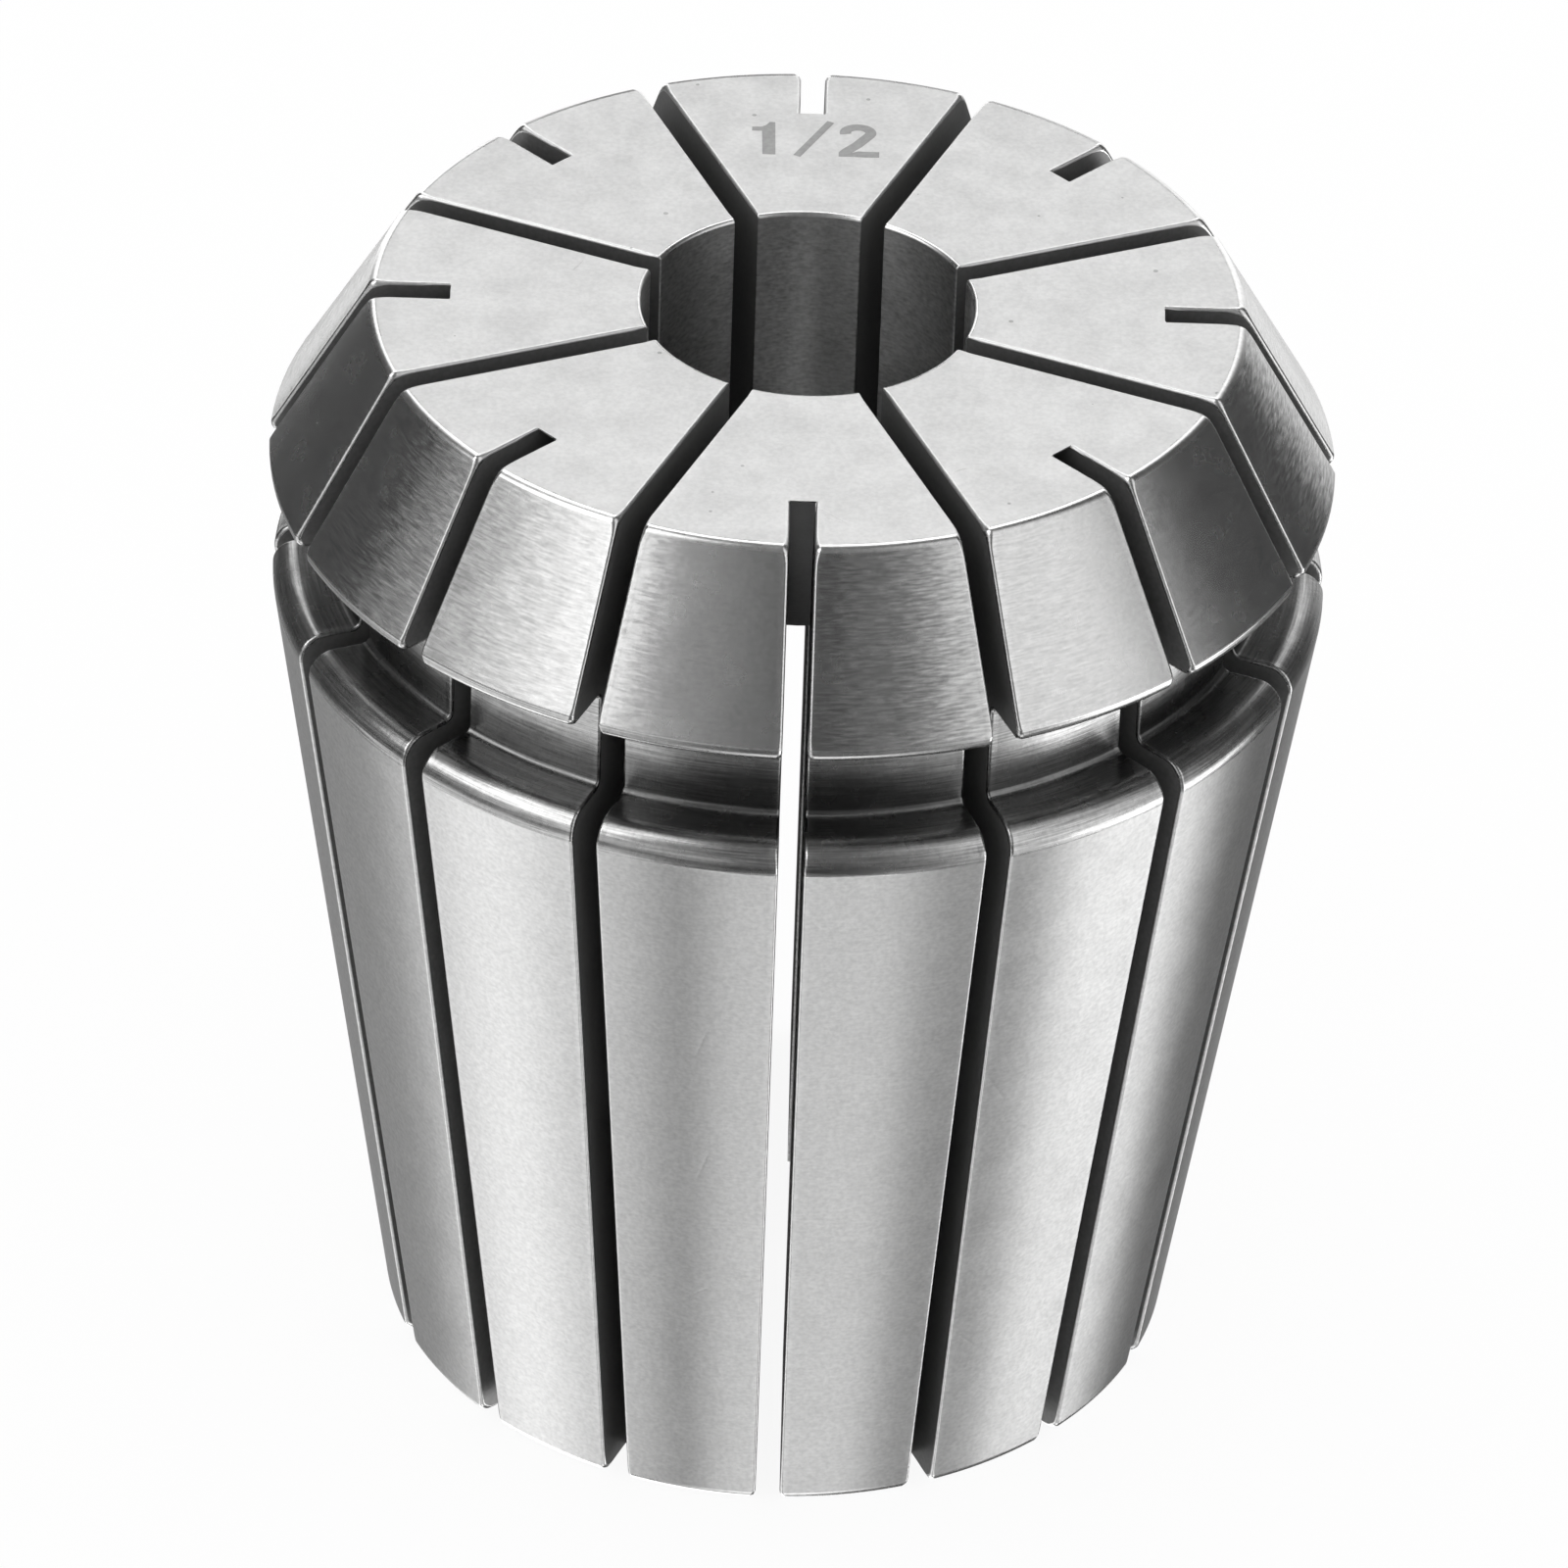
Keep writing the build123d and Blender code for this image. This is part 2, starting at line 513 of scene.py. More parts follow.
# %% Etched skin
MARK_BOTTOM, MARK_TOP = LENGTH - 0.01, LENGTH + 0.005
mark_points, mark_faces = [], []
for outline in numerals.values():
    first, count = len(mark_points), len(outline)
    for height in (MARK_BOTTOM, MARK_TOP):
        mark_points.extend(Vector((place.x, place.y, height)) * MM for place in outline)
    low, high = list(range(first, first + count)), list(range(first + count, first + 2 * count))
    turning = sum(here.x * after.y - here.y * after.x
                  for here, after in zip(outline, outline[1:] + outline[:1]))
    if turning < 0:
        low, high = low[::-1], high[::-1]
    mark_faces += [low[::-1], high]
    mark_faces += [(low[k], low[(k + 1) % count], high[(k + 1) % count], high[k]) for k in range(count)]
mark_mesh = bpy.data.meshes.new("bore_mark")
mark_mesh.from_pydata(mark_points, [], mark_faces)
mark = bpy.data.objects.new("bore_mark", mark_mesh)
bpy.context.scene.collection.objects.link(mark)
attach(mark, "root")
print("bore mark:", len(mark_mesh.polygons), "faces")

# %% [markdown]
# ## Shader building blocks
# Steel finishes differ in their marks, not in their metal, so the marks are made
# once as node groups and every finish sets its own values. Image maps could do it
# too, but they show seams and blur up close. A few helpers keep the cells short.

# %% Node helpers
def add_node(tree, kind, inputs=None, **settings):
    made = tree.nodes.new(kind)
    for key, value in settings.items():
        setattr(made, key, value)
    for name, value in (inputs or {}).items():
        if isinstance(value, bpy.types.NodeSocket):
            tree.links.new(value, made.inputs[name])
        else:
            made.inputs[name].default_value = value
    return made


def calc(tree, operation, *values, clamp=False):
    inputs = dict(enumerate(values))
    return add_node(tree, "ShaderNodeMath", inputs, operation=operation, use_clamp=clamp).outputs[0]


def vector(tree, operation, *values):
    return add_node(tree, "ShaderNodeVectorMath", dict(enumerate(values)), operation=operation).outputs[0]


def scaled(tree, value, scale):
    return add_node(tree, "ShaderNodeVectorMath", {0: value, "Scale": scale}, operation="SCALE").outputs[0]


def remap(tree, value, low, high, to_low=0.0, to_high=1.0, easing="LINEAR"):
    limits = {"Value": value, "From Min": low, "From Max": high, "To Min": to_low, "To Max": to_high}
    return add_node(tree, "ShaderNodeMapRange", limits, interpolation_type=easing).outputs["Result"]


print("node helpers: a node, a sum, a vector sum, a scaled vector, a stretch of values")

# %% [markdown]
# A node group is a small tree between its inputs and its outputs. Its inputs are
# made from names and first values, so that each mark starts with what can be set.

# %% Group helpers
def new_group(name, inputs):
    """An empty group with named inputs, and the sockets that give them inside it."""
    tree = bpy.data.node_groups.new(name, "ShaderNodeTree")
    for label, value in inputs.items():
        kind = "NodeSocketVector" if isinstance(value, tuple) else "NodeSocketFloat"
        tree.interface.new_socket(label, in_out="INPUT", socket_type=kind).default_value = value
    return tree, tree.nodes.new("NodeGroupInput").outputs


def put_out(tree, **results):
    """Gives a group its outputs, which are all plain values."""
    for label in results:
        tree.interface.new_socket(label, in_out="OUTPUT", socket_type="NodeSocketFloat")
    sink = tree.nodes.new("NodeGroupOutput")
    for label, value in results.items():
        tree.links.new(value, sink.inputs[label])
    print("group", tree.name, "puts out", ", ".join(results))


def place_group(tree, group, **values):
    made = tree.nodes.new("ShaderNodeGroup")
    made.node_tree = group
    for label, value in values.items():
        socket = made.inputs[label.replace("_", " ")]
        if isinstance(value, bpy.types.NodeSocket):
            tree.links.new(value, socket)
        else:
            socket.default_value = value
    return made


print("group helpers: a new group, its outputs, a placed group")

# %% [markdown]
# Every mark needs to know where it is. The place on the object does for specks.
# Marks that run round the axis use the direction from the axis, so that they have
# no seam, and the run stored on the mesh gives the way along the outline.

# %% Places on the steel
MM_PER_METRE = 1000.0
ACROSS_AXIS = (1.0, 1.0, 0.0)


def object_place(tree):
    return add_node(tree, "ShaderNodeTexCoord").outputs["Object"]


def outline_run(tree):
    return add_node(tree, "ShaderNodeAttribute", attribute_name="run").outputs["Fac"]


def round_the_part(tree, reach, lines):
    """A place for noise that is drawn out round the part and squeezed along the outline."""
    around = vector(tree, "NORMALIZE", vector(tree, "MULTIPLY", object_place(tree), ACROSS_AXIS))
    spread = add_node(tree, "ShaderNodeCombineXYZ", {"Z": lines}).outputs[0]
    return vector(tree, "ADD", scaled(tree, around, reach), spread)


def turned_ways(tree, place, angle):
    """The two ways of a flat place, after a turn."""
    turned = add_node(tree, "ShaderNodeVectorRotate", {0: place, "Angle": angle}, rotation_type="Z_AXIS")
    return add_node(tree, "ShaderNodeSeparateXYZ", {0: turned.outputs[0]}).outputs


def noise(tree, place, scale, detail, roughness=0.5):
    settings = {"Vector": place, "Scale": scale, "Detail": detail, "Roughness": roughness}
    return add_node(tree, "ShaderNodeTexNoise", settings).outputs[0]


print("places: on the object, along the outline, round the part")

# %% [markdown]
# ### Turning and grinding marks
# A turning tool or a wheel leaves lines that run round the axis. A Wave texture
# would make them as even as a thread, so they are a noise that is stretched round
# the part, with a set number of lines per millimetre of outline.

# %% Group: marks round the axis
marks_group, given = new_group("marks_round_axis", {"Lines per mm": 8.0, "Reach": 4.0})
lines = calc(marks_group, "MULTIPLY", outline_run(marks_group), given["Lines per mm"])
where = round_the_part(marks_group, given["Reach"], lines)
put_out(marks_group, Height=noise(marks_group, where, 1.0, 3.0, 0.6))

# %% [markdown]
# Between the long lines the grit leaves short dashes, a few tenths of a
# millimetre long. Bump would need very close samples to show them, so each dash
# tips the surface a little to one side, which gives a dark band its fine teeth.

# %% Group: short dashes
MEAN_RADIUS, MIDDLE_OF_NOISE = 18.0, 0.5
dash_group, given = new_group("short_dashes", {"Length mm": 0.4, "Height mm": 0.05})
reach = calc(dash_group, "DIVIDE", MEAN_RADIUS, given["Length mm"])
lines = calc(dash_group, "DIVIDE", outline_run(dash_group), given["Height mm"])
where = round_the_part(dash_group, reach, lines)
grain = noise(dash_group, where, 1.0, 1.0)
put_out(dash_group, Dash=calc(dash_group, "SUBTRACT", grain, MIDDLE_OF_NOISE))

# %% [markdown]
# ### Cloudy tone and specks
# Hardened and ground steel is never one even grey. Soft clouds a millimetre or
# two wide and a fine salt-and-pepper speck lie under the marks, and a few tiny
# dark pits stand out on the end face. One noise could serve for clouds and specks,
# but their sizes are set apart here because each finish shows them differently.

# %% Group: clouds, specks and pits
CELLS_PER_MM, NO_PIT_BELOW, LARGEST_PIT = 0.9, 0.6, 0.09
tone_group, given = new_group("steel_tone", {"Cloud mm": 1.5, "Speck mm": 0.18, "Pits": 0.2})
spot = scaled(tone_group, object_place(tone_group), MM_PER_METRE)
per_cloud = calc(tone_group, "DIVIDE", 1.0, given["Cloud mm"])
per_speck = calc(tone_group, "DIVIDE", 1.0, given["Speck mm"])
clouds = noise(tone_group, spot, per_cloud, 3.0, 0.55)
specks = noise(tone_group, spot, per_speck, 1.0)
cells = add_node(tone_group, "ShaderNodeTexVoronoi", {"Vector": spot, "Scale": CELLS_PER_MM, "Randomness": 1.0})
chance = add_node(tone_group, "ShaderNodeSeparateColor", {0: cells.outputs["Color"]}).outputs[0]
size = remap(tone_group, chance, NO_PIT_BELOW, 1.0, 0.0, LARGEST_PIT)
pit = calc(tone_group, "LESS_THAN", cells.outputs["Distance"], size)
put_out(tone_group, Clouds=clouds, Specks=specks, Pits=calc(tone_group, "MULTIPLY", pit, given["Pits"]))

# %% [markdown]
# ### Handling scratches
# Collets knock against each other in the drawer, so the end faces and the seat
# carry a few short hairlines. Stretched noise would lay them all one way. Here the
# skin is unrolled into cells, and some cells hold one scratch at its own angle.

# %% Group: short scratches
UNROLLED_RADIUS, FULL_TURN = 12.0, 6.283
SCRATCH_FULL, SCRATCH_GONE = 0.12, 0.34
scratch_group, given = new_group("short_scratches", {"Cells per mm": 0.3, "Width": 0.02, "Share": 0.4})
axes = add_node(scratch_group, "ShaderNodeSeparateXYZ", {0: object_place(scratch_group)}).outputs
unrolled = calc(scratch_group, "MULTIPLY", calc(scratch_group, "ARCTAN2", axes[0], axes[1]), UNROLLED_RADIUS)
flat = add_node(scratch_group, "ShaderNodeCombineXYZ", {0: unrolled, 1: outline_run(scratch_group)}).outputs[0]
flat = scaled(scratch_group, flat, given["Cells per mm"])
cell = add_node(scratch_group, "ShaderNodeTexVoronoi", {"Vector": flat, "Scale": 1.0}, voronoi_dimensions="2D")
lot = add_node(scratch_group, "ShaderNodeSeparateColor", {0: cell.outputs["Color"]}).outputs
offset = vector(scratch_group, "SUBTRACT", flat, cell.outputs["Position"])
ways = turned_ways(scratch_group, offset, calc(scratch_group, "MULTIPLY", lot[0], FULL_TURN))
narrow = remap(scratch_group, calc(scratch_group, "ABSOLUTE", ways[1]), 0.0, given["Width"], 1.0, 0.0)
short = remap(scratch_group, calc(scratch_group, "ABSOLUTE", ways[0]), SCRATCH_FULL, SCRATCH_GONE, 1.0, 0.0)
line = calc(scratch_group, "MULTIPLY", narrow, short)
chosen = calc(scratch_group, "LESS_THAN", lot[1], given["Share"])
put_out(scratch_group, Mask=calc(scratch_group, "MULTIPLY", line, chosen))

# %% [markdown]
# A few marks have a known place: the end face has two hairlines that meet in a V
# beside the front slit. They are finer than the mesh, so this group draws a line
# in the shader, given its middle and its turn.

# %% Group: one hairline
HAIRLINE_FULL = 0.6      # share of its length and width at which a line starts to fade
hairline_group, given = new_group("one_hairline", {"X mm": 0.0, "Y mm": 0.0, "Turn": 0.0,
                                                   "Half length": 0.5, "Half width": 0.02})
spot = scaled(hairline_group, object_place(hairline_group), MM_PER_METRE)
middle = add_node(hairline_group, "ShaderNodeCombineXYZ", {0: given["X mm"], 1: given["Y mm"]}).outputs[0]
ways = turned_ways(hairline_group, vector(hairline_group, "SUBTRACT", spot, middle),
                   calc(hairline_group, "MULTIPLY", given["Turn"], -1.0))
masks = []
for way, size in zip(ways, ("Half length", "Half width")):
    share = calc(hairline_group, "DIVIDE", calc(hairline_group, "ABSOLUTE", way), given[size])
    masks.append(remap(hairline_group, share, HAIRLINE_FULL, 1.0, 1.0, 0.0))
put_out(hairline_group, Mask=calc(hairline_group, "MULTIPLY", *masks))

# %% [markdown]
# ### Broken edges with a painted highlight
# Every slit edge gets a lighter colour, which is a painted highlight along the broken
# edge, and it is a little uneven. A Bevel node could find the edges while it renders,
# but slowly. The mesh already stores them as an edge value, which a short noise
# breaks up so that the line varies.

# %% Group: broken edges
CHIPS_PER_METRE, CHIPS = 2600.0, (0.35, 0.65)
edge_group, given = new_group("broken_edge", {"Amount": 1.0, "Uneven": 0.5})
edge = add_node(edge_group, "ShaderNodeAttribute", attribute_name="edge").outputs["Fac"]
chips = noise(edge_group, object_place(edge_group), CHIPS_PER_METRE, 2.0)
lost = calc(edge_group, "MULTIPLY", remap(edge_group, chips, *CHIPS), given["Uneven"])
kept = calc(edge_group, "MULTIPLY", edge, calc(edge_group, "SUBTRACT", 1.0, lost))
put_out(edge_group, Mask=calc(edge_group, "MULTIPLY", kept, given["Amount"], clamp=True))

# %% [markdown]
# ### Painted shade in the groove
# The groove isn't ground after hardening. Its lower corner is painted darker in
# patches, a painted shade where little light reaches. Ambient Occlusion could find
# the corner, but it would darken the slits as well, so the shade's place is found
# from the outline run of the corner station.

# %% Group: painted shade in the corner
SHADE_PATCHES_PER_METRE = 500.0
SHADE_FULL, SHADE_GONE = 0.7, 1.5      # in reaches from the corner
corner_run = min(stations, key=lambda item: (item["place"] - Vector((GROOVE, SHOULDER))).length)["run"]
corner_shade_group, given = new_group("painted_shade_in_corner", {"Amount": 0.6, "Reach mm": 1.6})
patchy = noise(corner_shade_group, object_place(corner_shade_group), SHADE_PATCHES_PER_METRE, 3.0)
away = calc(corner_shade_group, "ABSOLUTE", calc(corner_shade_group, "SUBTRACT", outline_run(corner_shade_group), corner_run))
away = calc(corner_shade_group, "ADD", away, calc(corner_shade_group, "SUBTRACT", patchy, MIDDLE_OF_NOISE))
away = calc(corner_shade_group, "DIVIDE", away, given["Reach mm"])
painted_shade = remap(corner_shade_group, away, SHADE_FULL, SHADE_GONE, 1.0, 0.0, easing="SMOOTHSTEP")
painted_shade = calc(corner_shade_group, "MULTIPLY", painted_shade, given["Amount"])
put_out(corner_shade_group, Tone=calc(corner_shade_group, "SUBTRACT", 1.0, painted_shade))
print("groove corner lies %.2f mm along the outline" % corner_run)

# %% [markdown]
# ## The finishes
# Each finish is a metal with its own grey, roughness and marks. They could be built
# one by one, but a single function shows at a glance how they differ. Grinding
# marks run round the part, so a highlight is drawn out along the outline: that is
# the anisotropy, turned a quarter so that it lies across the marks. Only the
# groups that a finish needs are placed in it, because each costs render time.

# %% One function for all steel finishes
NOISE = (0.3, 0.7)                   # where most of a noise lies
CLOUD_TONE, ROUGH_SPREAD = 0.04, 0.02
WARMTH = 0.995                       # blue beside red and green
# the first is the lighter colour of the broken edges, a painted highlight
PAINTED_EDGE_HIGHLIGHT, QUARTER_TURN = 0.25, 0.25
SPECK_RELIEF, PIT_RELIEF = 0.35, 2.0     # heights beside those of the marks
HAIRLINE_RELIEF, EDGE_RELIEF = 8.0, 5.0


def steel(name, grey, rough, stretch, marks, bump, specks=0.08, pits=0.0, edge=0.0, scratches=0.0,
          dash=(0.4, 0.05), tilt=0.0, streak=0.0, metal=1.0, corner_shade=0.0, hairlines=()):
    material = bpy.data.materials.new(name)
    material.use_nodes = True
    tree = material.node_tree
    shader = tree.nodes["Principled BSDF"]
    shader.inputs["Metallic"].default_value = metal
    shader.inputs["Anisotropic"].default_value = stretch
    shader.inputs["Anisotropic Rotation"].default_value = QUARTER_TURN
    tangent = add_node(tree, "ShaderNodeTangent", direction_type="RADIAL", axis="Z").outputs[0]
    tree.links.new(tangent, shader.inputs["Tangent"])

    tone = place_group(tree, tone_group, Pits=pits).outputs
    lines = place_group(tree, marks_group, Lines_per_mm=marks[0], Reach=marks[1]).outputs["Height"]
    value = calc(tree, "ADD", remap(tree, tone["Clouds"], *NOISE, 1.0 - CLOUD_TONE, 1.0 + CLOUD_TONE),
                 remap(tree, tone["Specks"], *NOISE, -specks, specks))
    relief = calc(tree, "ADD", lines, calc(tree, "MULTIPLY", tone["Specks"], SPECK_RELIEF))
    normal = add_node(tree, "ShaderNodeNewGeometry").outputs["Normal"]
    if pits:
        value = calc(tree, "SUBTRACT", value, tone["Pits"])
        relief = calc(tree, "SUBTRACT", relief, calc(tree, "MULTIPLY", tone["Pits"], PIT_RELIEF))
    if streak or tilt:
        dashes = place_group(tree, dash_group, Length_mm=dash[0], Height_mm=dash[1]).outputs["Dash"]
        value = calc(tree, "ADD", value, calc(tree, "MULTIPLY", dashes, streak))
    if tilt:
        lean = scaled(tree, tangent, calc(tree, "MULTIPLY", dashes, tilt))
        normal = vector(tree, "NORMALIZE", vector(tree, "ADD", normal, lean))
    if scratches:
        scratched = place_group(tree, scratch_group, Share=scratches).outputs["Mask"]
        relief = calc(tree, "SUBTRACT", relief, scratched)
    for x, y, turn, half_length, half_width in hairlines:
        line = place_group(tree, hairline_group, X_mm=x, Y_mm=y, Turn=math.radians(turn),
                           Half_length=half_length, Half_width=half_width).outputs["Mask"]
        relief = calc(tree, "SUBTRACT", relief, calc(tree, "MULTIPLY", line, HAIRLINE_RELIEF))

    value = calc(tree, "MULTIPLY", value, grey)
    # Painted shade: the groove's lower corner is made darker in patches
    if corner_shade:
        value = calc(tree, "MULTIPLY", value, place_group(tree, corner_shade_group, Amount=corner_shade).outputs["Tone"])
    # Painted highlight: the broken edges get a lighter colour, and a little relief from their chips
    if edge:
        edge_highlight_and_chips = place_group(tree, edge_group, Amount=edge).outputs["Mask"]
        value = calc(tree, "ADD", value, calc(tree, "MULTIPLY", edge_highlight_and_chips, PAINTED_EDGE_HIGHLIGHT), clamp=True)
        relief = calc(tree, "ADD", relief, calc(tree, "MULTIPLY", edge_highlight_and_chips, EDGE_RELIEF))
    blue = calc(tree, "MULTIPLY", value, WARMTH)
    colour = add_node(tree, "ShaderNodeCombineColor", {0: value, 1: value, 2: blue})
    tree.links.new(colour.outputs[0], shader.inputs["Base Color"])
    roughness = remap(tree, tone["Clouds"], *NOISE, rough - ROUGH_SPREAD, rough + ROUGH_SPREAD)
    tree.links.new(roughness, shader.inputs["Roughness"])
    bumped = add_node(tree, "ShaderNodeBump", {"Height": relief, "Normal": normal, "Strength": 1.0,
                                               "Distance": bump * MM})
    tree.links.new(bumped.outputs[0], shader.inputs["Normal"])
    print("finish:", name)
    return material


# %% [markdown]
# The end face is plunge ground, so it has no direction and shows its pits. The nut
# cone and the seat are ground in the round. The groove is only turned. The slit
# walls are a much darker grey, and the closed ends of the slits are darker still,
# which is painted shade deep in the narrow slits. The greys were matched to the
# picture, one surface at a time.

# %% The finishes of the collet
# Hairlines on the end face: x, y, turn, half length, half width
HAIRLINES = ((1.17, -14.56, -43, 0.77, 0.035), (1.20, -14.83, -25, 0.48, 0.030), (-4.6, -9.4, -16, 0.40, 0.025),
             (5.9, -11.2, 30, 0.35, 0.025), (-8.8, 2.1, 62, 0.45, 0.025))
finish_materials = {
    "end_face": steel("ground_end_face", 0.75, 0.42, 0.0, (3.0, 3.0), 0.002,
                      specks=0.05, pits=0.35, edge=0.2, scratches=0.3, hairlines=HAIRLINES),
    "nut_cone": steel("ground_nut_cone", 0.70, 0.26, 0.8, (7.0, 5.0), 0.0015,
                      specks=0.04, edge=0.8, dash=(0.6, 0.10), tilt=0.12, streak=0.40),
    # the groove's lower corner is darkened with painted shade
    "groove": steel("turned_groove", 0.52, 0.27, 0.0, (7.0, 2.5), 0.006,
                    edge=0.5, dash=(2.0, 0.07), streak=1.3, corner_shade=0.6),
    "seat": steel("ground_seat", 0.70, 0.34, 0.75, (6.0, 5.0), 0.002,
                  specks=0.07, edge=0.6, scratches=0.3, dash=(0.3, 0.12), streak=0.2),
    "bore": steel("honed_bore", 0.61, 0.36, 0.8, (9.0, 4.0), 0.003,
                  edge=0.3, dash=(0.8, 0.12), tilt=0.1, streak=0.8),
    "sawn": steel("sawn_slit_wall", 0.20, 0.38, 0.0, (2.0, 3.0), 0.004, metal=0.6),
    # painted shade: the closed ends of the slits are nearly black
    "shaded_saw_root": steel("shaded_saw_root", 0.08, 0.45, 0.0, (2.0, 3.0), 0.004, metal=0.4),
    "tumbled": steel("tumbled_edge", 0.75, 0.28, 0.0, (2.0, 3.0), 0.002, edge=0.3),
}
for name in FINISHES:
    collet.data.materials.append(finish_materials[name])
mark.data.materials.append(steel("etched_mark", 0.38, 0.50, 0.0, (3.0, 3.0), 0.002))
print("finishes on the collet:", len(collet.data.materials))

# %% [markdown]
# ## Studio
# The collet stands on a white table that keeps its pale shadow. The camera sees
# the table as white, but rays mirrored by the steel pass through it. The steel in
# the photo mirrors a table that is bright in some places and dark in others, so
# those places are panels under the horizon, set with the rest of the room.

# %% Table
TABLE_REACH, UNDER_THE_COLLET = 1.6, -0.00004
PAPER, GLOW_SHARE = 0.97, 0.92
table_corners = [(x * TABLE_REACH, y * TABLE_REACH, 0) for x, y in ((-1, -1), (1, -1), (1, 1), (-1, 1))]
table_mesh = bpy.data.meshes.new("table")
table_mesh.from_pydata(table_corners, [], [(0, 1, 2, 3)])
table = bpy.data.objects.new("table", table_mesh)
table.location.z = UNDER_THE_COLLET
bpy.context.scene.collection.objects.link(table)

paper = bpy.data.materials.new("white_table")
paper.use_nodes = True
tree = paper.node_tree
sheet = tree.nodes["Principled BSDF"]
sheet.inputs["Base Color"].default_value = (PAPER, PAPER, PAPER, 1)
sheet.inputs["Roughness"].default_value = 0.8
sheet.inputs["Specular IOR Level"].default_value = 0.0
glow = add_node(tree, "ShaderNodeEmission", {"Color": (1, 1, 1, 1), "Strength": 1.0})
clear = add_node(tree, "ShaderNodeBsdfTransparent")
rays = add_node(tree, "ShaderNodeLightPath").outputs
seen = calc(tree, "MAXIMUM", rays["Is Camera Ray"], rays["Is Transmission Ray"])
white = add_node(tree, "ShaderNodeMixShader", {0: calc(tree, "MULTIPLY", seen, GLOW_SHARE),
                                               1: sheet.outputs[0], 2: glow.outputs[0]})
mixed = add_node(tree, "ShaderNodeMixShader", {0: rays["Is Glossy Ray"],
                                               1: white.outputs[0], 2: clear.outputs[0]})
tree.links.new(mixed.outputs[0], tree.nodes["Material Output"].inputs["Surface"])
table_mesh.materials.append(paper)
print("table: %.1f m wide" % (2 * TABLE_REACH))

# %% [markdown]
# ## Light
# Polished steel shows the room more than its own colour, so the room is designed:
# soft panels in front, at the sides and behind, others under the horizon for the
# lit parts of the table, and dim walls between them that give the cone its dark
# bands. Area lights could do it, but their reflections have hard edges, and a
# panel painted on the room is soft and stays as far away from every side.

# %% Group: a soft panel of light
# One group for every panel, which is set by azimuth and height in degrees
HALF_TURN = (180.0, 180.0, 180.0)
BACK_HALF_TURN = (-180.0, -180.0, -180.0)
FROM_MIN, FROM_MAX = 7, 8      # the vector sockets of Map Range
panel_group, given = new_group("soft_panel", {
    "Seen at": (0.0, 0.0, 0.0), "Middle": (0.0, 0.0, 0.0), "Lit within": (20.0, 20.0, 0.0),
    "Dark beyond": (26.0, 26.0, 1.0), "Level": 1.0, "Other light": 0.0})
off = vector(panel_group, "SUBTRACT", given["Seen at"], given["Middle"])
off = vector(panel_group, "WRAP", off, HALF_TURN, BACK_HALF_TURN)
soft = add_node(panel_group, "ShaderNodeMapRange", data_type="FLOAT_VECTOR", interpolation_type="SMOOTHSTEP")
panel_group.links.new(vector(panel_group, "ABSOLUTE", off), soft.inputs["Vector"])
panel_group.links.new(given["Dark beyond"], soft.inputs[FROM_MIN])
panel_group.links.new(given["Lit within"], soft.inputs[FROM_MAX])
across_up = add_node(panel_group, "ShaderNodeSeparateXYZ", {0: soft.outputs["Vector"]}).outputs
share = calc(panel_group, "MULTIPLY", across_up[0], across_up[1])
put_out(panel_group, Light=calc(panel_group, "MULTIPLY_ADD", share, given["Level"], given["Other light"]))

# %% [markdown]
# The panels are read back from the steel: each bright or dark form on the cone,
# the groove and the seat points at one part of the room. Azimuth 0 is the camera's
# side and 90 is the right. Heights under 0 lie on the table's side.

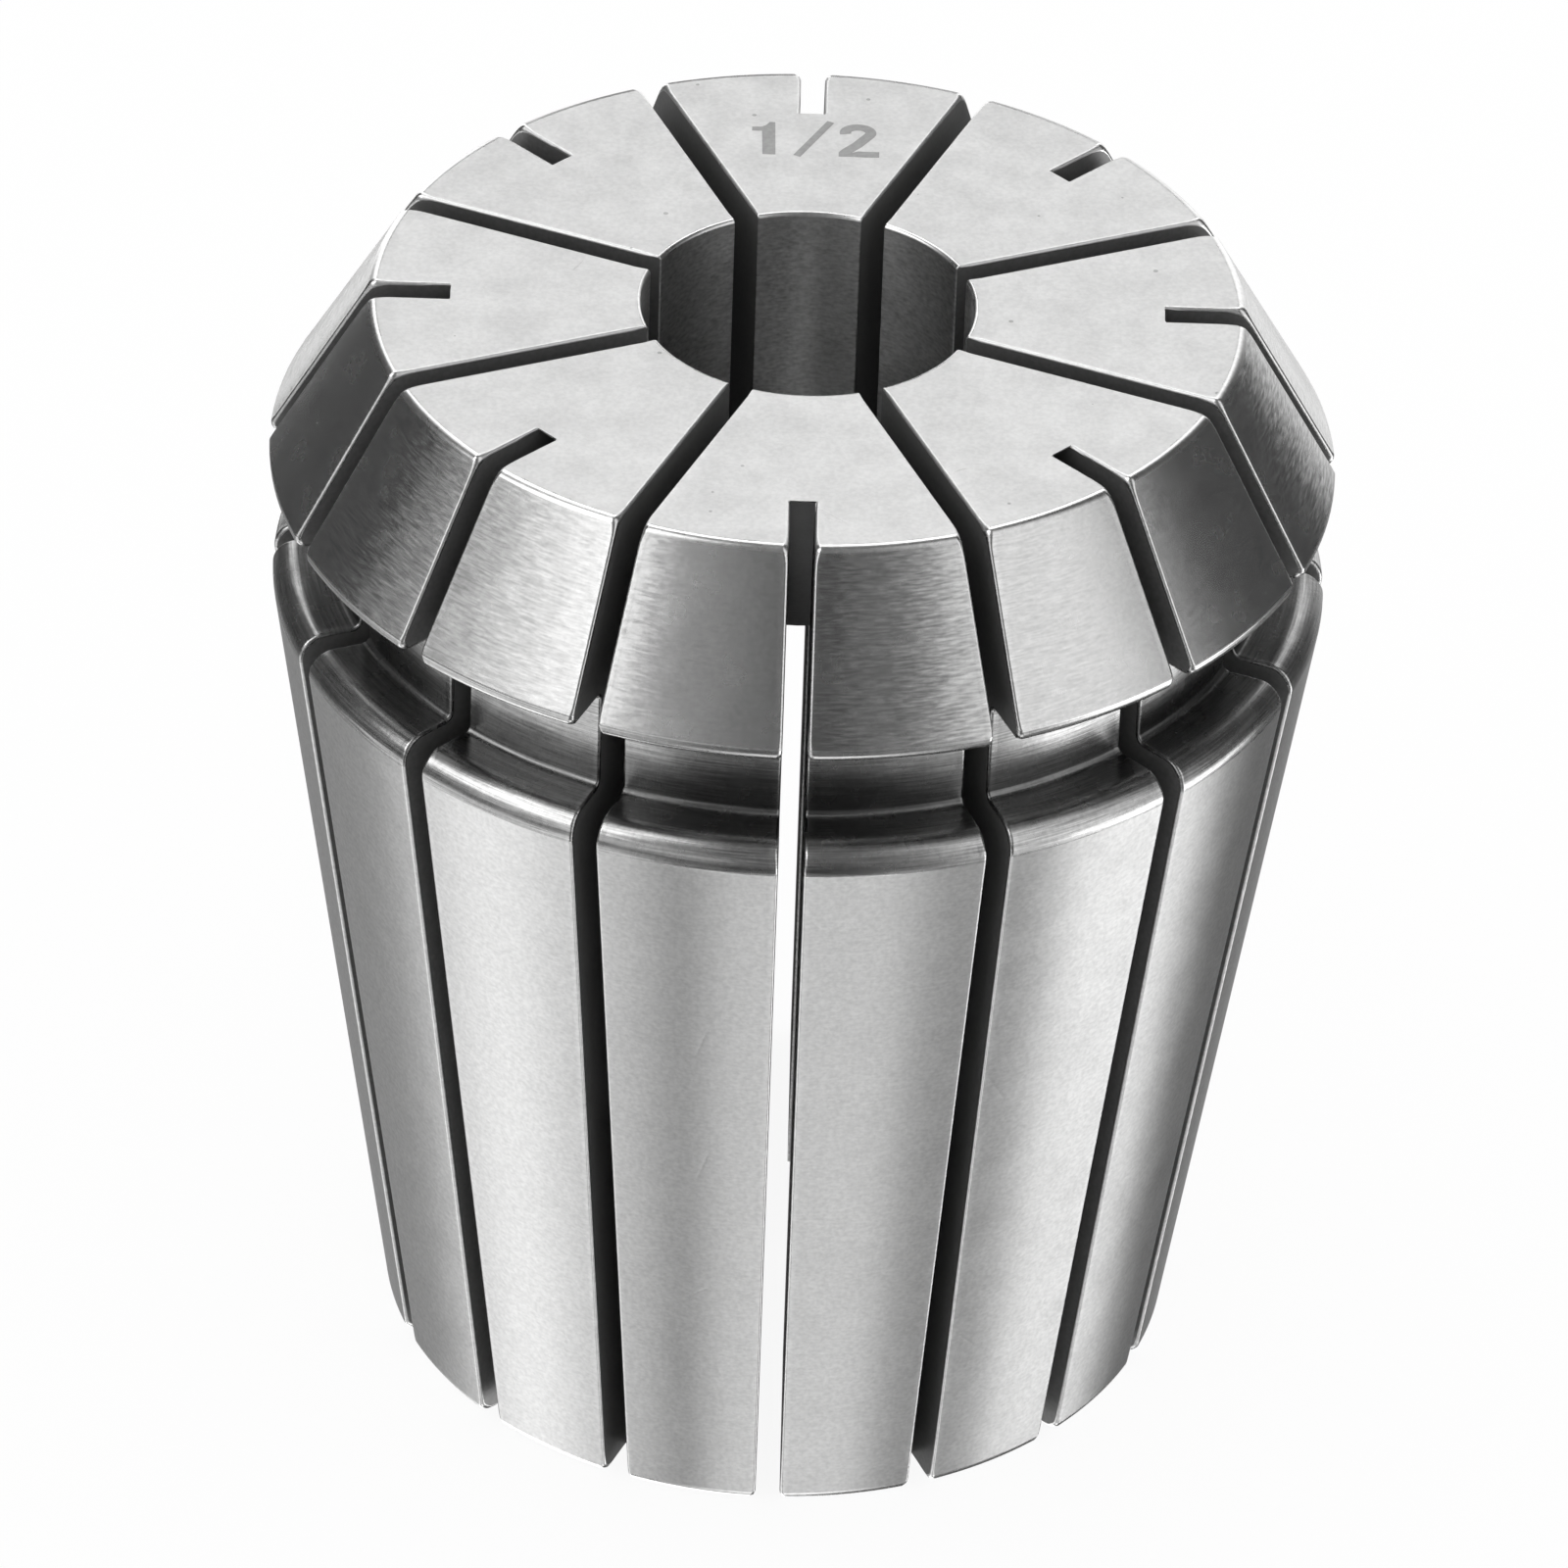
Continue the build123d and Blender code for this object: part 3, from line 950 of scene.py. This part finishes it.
# %% Panels: azimuth, half width, low, high, edge, level
DIM_WALLS = 0.067
PANELS = [
    (57, 23, -32, 65, 27, 0.90),     # front right
    (294, 28, 24, 72, 6, 2.20),      # front left, high
    (320, 21, -1, 22, 27, 0.80),     # front left, low
    (281, 19, 0, 24, 8, 0.20),       # left, dim
    (86, 8, -5, 20, 10, 0.16),       # right, dim
    (18, 8, 5, 60, 8, 0.11),         # beside the camera, dim
    (350, 10, -10, 60, 10, 0.12),    # round the camera, dim
    (159, 12, -22, 75, 29, 1.55),    # behind, right half
    (198, 9, -21, 68, 5, 1.70),      # behind, left half
    (191, 44, 47, 69, 9, 1.75),      # behind, high
    (85, 22, -42, -19, 6, 2.60),     # table, far right
    (6, 31, -77, -48, 18, 1.60),     # table, in front
    (294, 36, -56, -17, 11, 0.88),   # table, left
    (202, 58, -53, -27, 30, 0.32),   # table, behind
    (227, 53, -82, -54, 13, 2.30),   # table, close behind
    (59, 38, -65, -33, 6, 0.22),     # table, right
]
print("panels:", len(PANELS), " brightest: %.1f" % max(panel[-1] for panel in PANELS))

# %% [markdown]
# The world looks up each direction's azimuth and height once, and every panel adds
# its share. Camera rays see plain white, and rough surfaces are lit by an even room
# of strength 1, so that colours keep their value. The room is smooth enough to be
# sampled by the surfaces alone, which halves the render time.

# %% Room with its panels
world = bpy.data.worlds.new("room")
bpy.context.scene.world = world
world.use_nodes = True
world.cycles.sampling_method = "NONE"
tree = world.node_tree
direction = add_node(tree, "ShaderNodeTexCoord").outputs["Generated"]
way = add_node(tree, "ShaderNodeSeparateXYZ", {0: direction}).outputs
front = calc(tree, "MULTIPLY", way[1], -1.0)
seen_azimuth = calc(tree, "DEGREES", calc(tree, "ARCTAN2", way[0], front))
seen_height = calc(tree, "DEGREES", calc(tree, "ARCSINE", way[2]))
seen_at = add_node(tree, "ShaderNodeCombineXYZ", {0: seen_azimuth, 1: seen_height}).outputs[0]
total = DIM_WALLS
for azimuth, half_width, low, high, edge, level in PANELS:
    half_height, half_edge = (high - low) / 2, edge / 2
    panel = place_group(tree, panel_group, Seen_at=seen_at, Middle=(azimuth, (low + high) / 2, 0.0),
                        Lit_within=(half_width - half_edge, half_height - half_edge, 0.0),
                        Dark_beyond=(half_width + half_edge, half_height + half_edge, 1.0),
                        Level=level, Other_light=total)
    total = panel.outputs["Light"]
rays = add_node(tree, "ShaderNodeLightPath").outputs
seen = calc(tree, "MAXIMUM", rays["Is Camera Ray"], rays["Is Transmission Ray"])
even = calc(tree, "MAXIMUM", seen, rays["Is Diffuse Ray"])
level = add_node(tree, "ShaderNodeMix", {"Factor": even, "A": total, "B": 1.0}, data_type="FLOAT").outputs[0]
tree.links.new(level, tree.nodes["Background"].inputs["Color"])
bpy.context.scene.view_settings.view_transform = "Standard"
print("room:", len(tree.nodes), "nodes")
